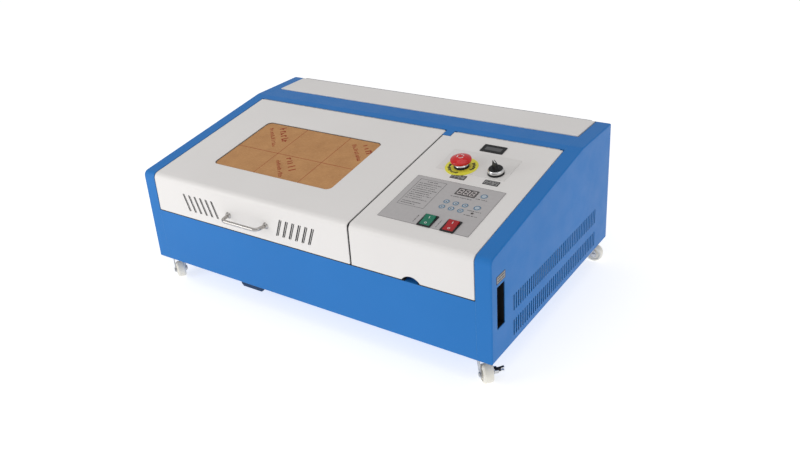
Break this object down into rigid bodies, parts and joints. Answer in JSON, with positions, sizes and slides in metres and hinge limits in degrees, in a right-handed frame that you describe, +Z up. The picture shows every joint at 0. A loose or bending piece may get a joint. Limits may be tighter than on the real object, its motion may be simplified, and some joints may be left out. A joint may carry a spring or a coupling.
{
  "type": "laser engraver",
  "caption": "Desktop laser engraver: blue steel cabinet with sloping hinged lid and window, control panel, rear tube bay and swivel casters, built as a jointed assembly.",
  "frame": {"origin": "on the floor, below the middle of the machine's bounding box", "axes": "+X to the operator's right along the long side, +Y to the back, +Z up"},
  "size_m": [0.8068, 0.553, 0.302],
  "materials": {
    "blue_paint": "satin powder coat",
    "white_paint": "satin powder coat",
    "zinc_steel": "zinc-plated",
    "chrome": "polished",
    "aluminium": "bare",
    "window_film": "acrylic under brown paper",
    "overlay_grey": "printed polyester",
    "key_blue": "printed polyester",
    "black_plastic": "satin",
    "green_plastic": "translucent",
    "red_plastic": "translucent",
    "estop_red": "glossy",
    "estop_yellow": "printed disc",
    "nylon": "natural nylon",
    "tube_glass": "clear",
    "board_green": "solder mask"
  },
  "bodies": {
    "cabinet": {"base_plate": "blue_paint", "front_panel": "blue_paint", "left_side_panel": "blue_paint", "right_side_panel": "blue_paint", "rear_panel": "blue_paint", "top_cross_band": "blue_paint", "centre_partition": "blue_paint", "rear_partition": "blue_paint", "hinge_fixed_halves": "zinc_steel", "caster_plates": "zinc_steel", "laser_tube": "tube_glass", "tube_clamps": "black_plastic", "guide_rails": "zinc_steel", "work_bed": "aluminium", "power_supply": "zinc_steel", "controller_board": "board_green", "exhaust_duct": "black_plastic", "port_recess": "black_plastic", "power_inlet": "black_plastic"},
    "lid": {"lid_shell": "white_paint", "lid_window": "window_film", "lid_handle": "chrome", "lid_hinge_leaf": "zinc_steel"},
    "control_cover": {"control_cover": "white_paint", "control_overlay": "overlay_grey", "rocker_bezels": "black_plastic", "estop_ring": "estop_yellow", "estop_collar": "black_plastic", "selector_body": "black_plastic", "panel_meter": "black_plastic", "control_hinge_leaf": "zinc_steel"},
    "rear_cover": {"rear_cover": "white_paint", "rear_hinge_leaf": "zinc_steel"},
    "scrap_tray": {"scrap_tray": "blue_paint"},
    "gantry": {"gantry_beam": "aluminium"},
    "laser_head": {"laser_head": "aluminium"},
    "fan_rotor": {"fan_rotor": "black_plastic"},
    "green_rocker": {"green_rocker": "green_plastic"},
    "red_rocker": {"red_rocker": "red_plastic"},
    "estop_stem": {"estop_stem": "zinc_steel"},
    "estop_button": {"estop_button": "estop_red"},
    "selector_knob": {"selector_knob": "black_plastic"},
    "key_1": {"key_1": "key_blue"},
    "key_2": {"key_2": "key_blue"},
    "key_3": {"key_3": "key_blue"},
    "key_4": {"key_4": "key_blue"},
    "key_5": {"key_5": "key_blue"},
    "key_6": {"key_6": "key_blue"},
    "key_7": {"key_7": "key_blue"},
    "key_8": {"key_8": "key_blue"},
    "front_left_caster_fork": {"front_left_caster_fork": "zinc_steel"},
    "front_left_caster_wheel": {"front_left_caster_wheel": "nylon"},
    "front_right_caster_fork": {"front_right_caster_fork": "zinc_steel"},
    "front_right_caster_wheel": {"front_right_caster_wheel": "nylon"},
    "rear_right_caster_fork": {"rear_right_caster_fork": "zinc_steel"},
    "rear_right_caster_wheel": {"rear_right_caster_wheel": "nylon"},
    "rear_left_caster_fork": {"rear_left_caster_fork": "zinc_steel"},
    "rear_left_caster_wheel": {"rear_left_caster_wheel": "nylon"},
    "front_right_caster_brake": {"front_right_caster_brake": "black_plastic"},
    "rear_left_caster_brake": {"rear_left_caster_brake": "black_plastic"}
  },
  "joints": [
    {"name": "lid_hinge", "type": "hinge", "parent": "cabinet", "child": "lid", "pos_m": [-0.121, 0.09368, 0.29335], "axis": [-1, 0, 0], "range_deg": [0, 95]},
    {"name": "control_cover_hinge", "type": "hinge", "parent": "cabinet", "child": "control_cover", "pos_m": [0.254, 0.09368, 0.29335], "axis": [-1, 0, 0], "range_deg": [0, 95]},
    {"name": "rear_cover_hinge", "type": "hinge", "parent": "cabinet", "child": "rear_cover", "pos_m": [0, 0.2463, 0.2981], "axis": [-1, 0, 0], "range_deg": [0, 95]},
    {"name": "scrap_tray_slide", "type": "slide", "parent": "cabinet", "child": "scrap_tray", "axis": [0, -1, 0], "range_m": [0, 0.26]},
    {"name": "gantry_slide", "type": "slide", "parent": "cabinet", "child": "gantry", "axis": [0, -1, 0], "range_m": [0, 0.23]},
    {"name": "head_slide", "type": "slide", "parent": "gantry", "child": "laser_head", "axis": [1, 0, 0], "range_m": [0, 0.33]},
    {"name": "fan_spin", "type": "hinge", "parent": "cabinet", "child": "fan_rotor", "pos_m": [-0.15, 0.205, 0.105], "axis": [0, 1, 0], "continuous": true},
    {"name": "green_rocker_tilt", "type": "hinge", "parent": "control_cover", "child": "green_rocker", "pos_m": [0.25, -0.19115, 0.25278], "axis": [1, 0, 0], "range_deg": [-16, 0]},
    {"name": "red_rocker_tilt", "type": "hinge", "parent": "control_cover", "child": "red_rocker", "pos_m": [0.295, -0.19115, 0.25278], "axis": [1, 0, 0], "range_deg": [-16, 0]},
    {"name": "estop_press", "type": "slide", "parent": "control_cover", "child": "estop_stem", "axis": [0, 0.1475, -0.9891], "range_m": [0, 0.004]},
    {"name": "estop_twist", "type": "hinge", "parent": "estop_stem", "child": "estop_button", "pos_m": [0.2185, -0.01856, 0.27852], "axis": [0, 0.1475, -0.9891], "range_deg": [0, 30], "stiffness_Nm_per_rad": 0.05},
    {"name": "selector_turn", "type": "hinge", "parent": "control_cover", "child": "selector_knob", "pos_m": [0.289, -0.01856, 0.27852], "axis": [0, 0.1475, -0.9891], "range_deg": [0, 90]},
    {"name": "key_1_press", "type": "slide", "parent": "control_cover", "child": "key_1", "axis": [0, 0.1475, -0.9891], "range_m": [0, 0.0005], "stiffness_N_per_m": 1500},
    {"name": "key_2_press", "type": "slide", "parent": "control_cover", "child": "key_2", "axis": [0, 0.1475, -0.9891], "range_m": [0, 0.0005], "stiffness_N_per_m": 1500},
    {"name": "key_3_press", "type": "slide", "parent": "control_cover", "child": "key_3", "axis": [0, 0.1475, -0.9891], "range_m": [0, 0.0005], "stiffness_N_per_m": 1500},
    {"name": "key_4_press", "type": "slide", "parent": "control_cover", "child": "key_4", "axis": [0, 0.1475, -0.9891], "range_m": [0, 0.0005], "stiffness_N_per_m": 1500},
    {"name": "key_5_press", "type": "slide", "parent": "control_cover", "child": "key_5", "axis": [0, 0.1475, -0.9891], "range_m": [0, 0.0005], "stiffness_N_per_m": 1500},
    {"name": "key_6_press", "type": "slide", "parent": "control_cover", "child": "key_6", "axis": [0, 0.1475, -0.9891], "range_m": [0, 0.0005], "stiffness_N_per_m": 1500},
    {"name": "key_7_press", "type": "slide", "parent": "control_cover", "child": "key_7", "axis": [0, 0.1475, -0.9891], "range_m": [0, 0.0005], "stiffness_N_per_m": 1500},
    {"name": "key_8_press", "type": "slide", "parent": "control_cover", "child": "key_8", "axis": [0, 0.1475, -0.9891], "range_m": [0, 0.0005], "stiffness_N_per_m": 1500},
    {"name": "front_left_swivel", "type": "hinge", "parent": "cabinet", "child": "front_left_caster_fork", "pos_m": [-0.3705, -0.227, 0.044], "axis": [0, 0, 1], "continuous": true},
    {"name": "front_left_roll", "type": "hinge", "parent": "front_left_caster_fork", "child": "front_left_caster_wheel", "pos_m": [-0.35917, -0.23523, 0.017], "axis": [0.5878, 0.809, 0], "continuous": true},
    {"name": "front_right_swivel", "type": "hinge", "parent": "cabinet", "child": "front_right_caster_fork", "pos_m": [0.3705, -0.227, 0.044], "axis": [0, 0, 1], "continuous": true},
    {"name": "front_right_roll", "type": "hinge", "parent": "front_right_caster_fork", "child": "front_right_caster_wheel", "pos_m": [0.3809, -0.23637, 0.017], "axis": [0.6691, 0.7431, 0], "continuous": true},
    {"name": "rear_right_swivel", "type": "hinge", "parent": "cabinet", "child": "rear_right_caster_fork", "pos_m": [0.3705, 0.227, 0.044], "axis": [0, 0, 1], "continuous": true},
    {"name": "rear_right_roll", "type": "hinge", "parent": "rear_right_caster_fork", "child": "rear_right_caster_wheel", "pos_m": [0.38419, 0.22991, 0.017], "axis": [-0.2079, 0.9781, 0], "continuous": true},
    {"name": "rear_left_swivel", "type": "hinge", "parent": "cabinet", "child": "rear_left_caster_fork", "pos_m": [-0.3705, 0.227, 0.044], "axis": [0, 0, 1], "continuous": true},
    {"name": "rear_left_roll", "type": "hinge", "parent": "rear_left_caster_fork", "child": "rear_left_caster_wheel", "pos_m": [-0.3809, 0.23637, 0.017], "axis": [-0.6691, -0.7431, 0], "continuous": true},
    {"name": "front_right_brake_tilt", "type": "hinge", "parent": "front_right_caster_fork", "child": "front_right_caster_brake", "pos_m": [0.39261, -0.22336, 0.02], "axis": [-0.7431, 0.6691, 0], "range_deg": [0, 20]},
    {"name": "rear_left_brake_tilt", "type": "hinge", "parent": "rear_left_caster_fork", "child": "rear_left_caster_brake", "pos_m": [-0.39261, 0.22336, 0.02], "axis": [0.7431, -0.6691, 0], "range_deg": [0, 20]}
  ]
}
